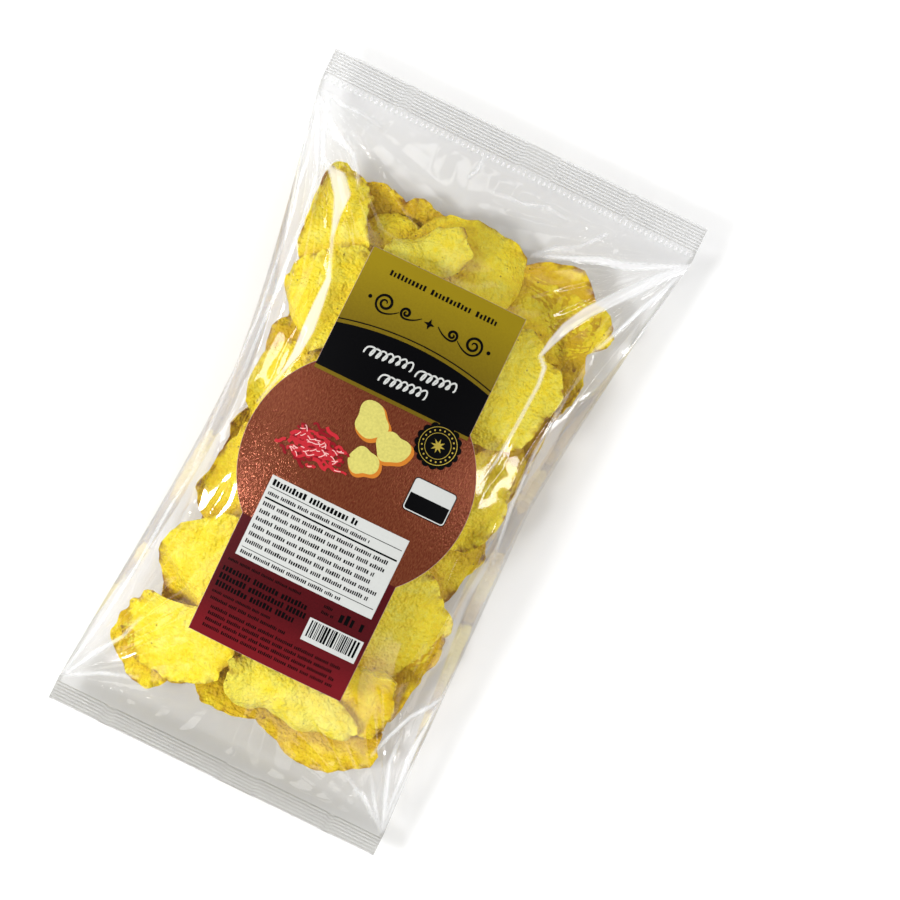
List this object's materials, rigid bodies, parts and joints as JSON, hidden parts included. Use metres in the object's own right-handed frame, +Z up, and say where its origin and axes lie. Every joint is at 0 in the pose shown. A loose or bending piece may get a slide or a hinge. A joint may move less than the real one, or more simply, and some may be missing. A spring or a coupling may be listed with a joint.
{
  "type": "clear film bag of potato crisps",
  "caption": "Sealed clear film pillow bag of golden potato crisps, with ridged end seals and a keyhole-shaped printed label, lying on its back.",
  "frame": {"origin": "middle of the bag's outline, on the ground", "axes": "X across the bag to the right of its label, Y along the bag from the foot seal to the head seal, Z up from the ground through the back to the labelled front"},
  "size_m": [0.1901, 0.326, 0.067],
  "materials": {
    "bag": "glossy clear film over golden crisps",
    "label": "satin printed paper"
  },
  "bodies": {
    "root": {"bag": "bag", "label": "label"}
  },
  "joints": []
}
